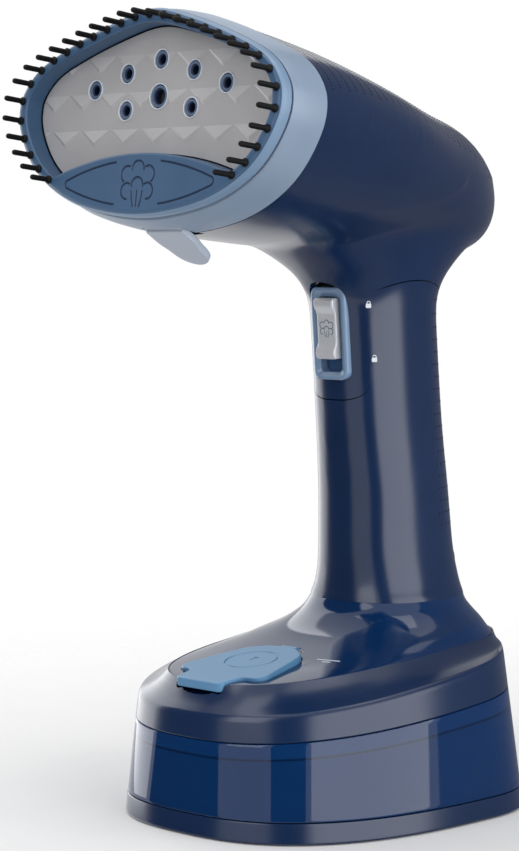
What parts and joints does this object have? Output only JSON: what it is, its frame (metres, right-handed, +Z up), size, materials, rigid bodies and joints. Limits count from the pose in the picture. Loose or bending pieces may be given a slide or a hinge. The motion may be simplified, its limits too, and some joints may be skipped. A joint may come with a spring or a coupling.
{
  "type": "handheld garment steamer",
  "caption": "Handheld garment steamer that stands on its clear water tank, with a hinged fill cap, a locking steam switch and a clip-on brush round the hot plate.",
  "frame": {"origin": "on the resting surface under the middle of the whole outline", "axes": "+Z up, the steam plate faces -Y (forwards), X across; the part is mirror symmetric about X = 0"},
  "size_m": [0.1158, 0.1618, 0.2481],
  "materials": {
    "navy_satin": "satin, faint metallic",
    "deck_gloss": "high gloss",
    "tank_clear": "clear blue, polished",
    "frame_blue": "satin",
    "collar_blue": "satin",
    "cap_blue": "satin",
    "bezel_blue": "gloss",
    "button_silver": "satin silver paint",
    "plate_champagne": "baked coating with a soft sheen",
    "rubber_black": "matte",
    "bristle_black": "matte",
    "liner_black": "fine texture",
    "silicone_white": "smooth",
    "cast_alloy": "as cast",
    "steel": "machined",
    "element_brass": "drawn tube",
    "coil_red": "enamelled winding under tape",
    "board_green": "solder mask",
    "white_plastic": "moulded"
  },
  "bodies": {
    "housing": {"bottom_plate": "navy_satin", "rubber_feet": "rubber_black", "base_screws": "steel", "water_tank": "tank_clear", "tank_seal": "rubber_black", "tank_collar": "navy_satin", "deck_panel": "deck_gloss", "hinge_block": "deck_gloss", "cap_pin": "steel", "foot_plate": "liner_black", "suction_tube": "silicone_white", "suction_filter": "white_plastic", "tube_grommet": "rubber_black", "grip_shell": "navy_satin", "head_shell": "navy_satin", "pump_body": "liner_black", "pump_coil": "coil_red", "pump_mounts": "rubber_black", "outlet_hose": "silicone_white", "switch_board": "board_green", "micro_switch": "liner_black", "switch_bezel": "bezel_blue", "cord_gland": "rubber_black", "supply_wires": "rubber_black", "nose_ring": "liner_black", "steam_plate": "plate_champagne", "hole_grommets": "collar_blue", "plate_gasket": "silicone_white", "boiler_block": "cast_alloy", "boiler_cover": "cast_alloy", "heating_element": "element_brass", "thermostat": "steel", "thermal_fuse": "white_plastic", "boiler_screws": "steel"},
    "cap": {"fill_cap": "cap_blue", "cap_plug": "rubber_black"},
    "slider": {"lock_slider": "liner_black", "button_spring": "steel"},
    "button": {"steam_button": "button_silver"},
    "plunger": {"switch_plunger": "white_plastic"},
    "brush": {"brush_frame": "frame_blue", "brush_bristles": "bristle_black", "brush_collar": "collar_blue", "tab_pin": "steel"},
    "tab": {"release_tab": "collar_blue"}
  },
  "joints": [
    {"name": "cap_hinge", "type": "hinge", "parent": "housing", "child": "cap", "pos_m": [0, -0.00857, 0.05032], "axis": [-1, 0, 0], "range_deg": [0, 100]},
    {"name": "lock_slide", "type": "slide", "parent": "housing", "child": "slider", "axis": [0, 0.075, -0.9972], "range_m": [0, 0.004]},
    {"name": "steam_press", "type": "slide", "parent": "slider", "child": "button", "axis": [0, 0.9972, 0.075], "range_m": [0, 0.002], "stiffness_N_per_m": 400, "springref_m": -0.002, "deforming": ["button_spring"]},
    {"name": "plunger_press", "type": "slide", "parent": "housing", "child": "plunger", "axis": [0, 0.9972, 0.075], "range_m": [0, 0.002]},
    {"name": "brush_pull", "type": "slide", "parent": "housing", "child": "brush", "axis": [0, -0.994, 0.1097], "range_m": [0, 0.04]},
    {"name": "tab_press", "type": "hinge", "parent": "brush", "child": "tab", "pos_m": [0, -0.06187, 0.1843], "axis": [1, 0, 0], "range_deg": [0, 6], "stiffness_Nm_per_rad": 0.05, "springref_deg": -5.73}
  ],
  "couplings": [
    {"joint": "plunger_press", "follows": "steam_press", "ratio": 1}
  ]
}
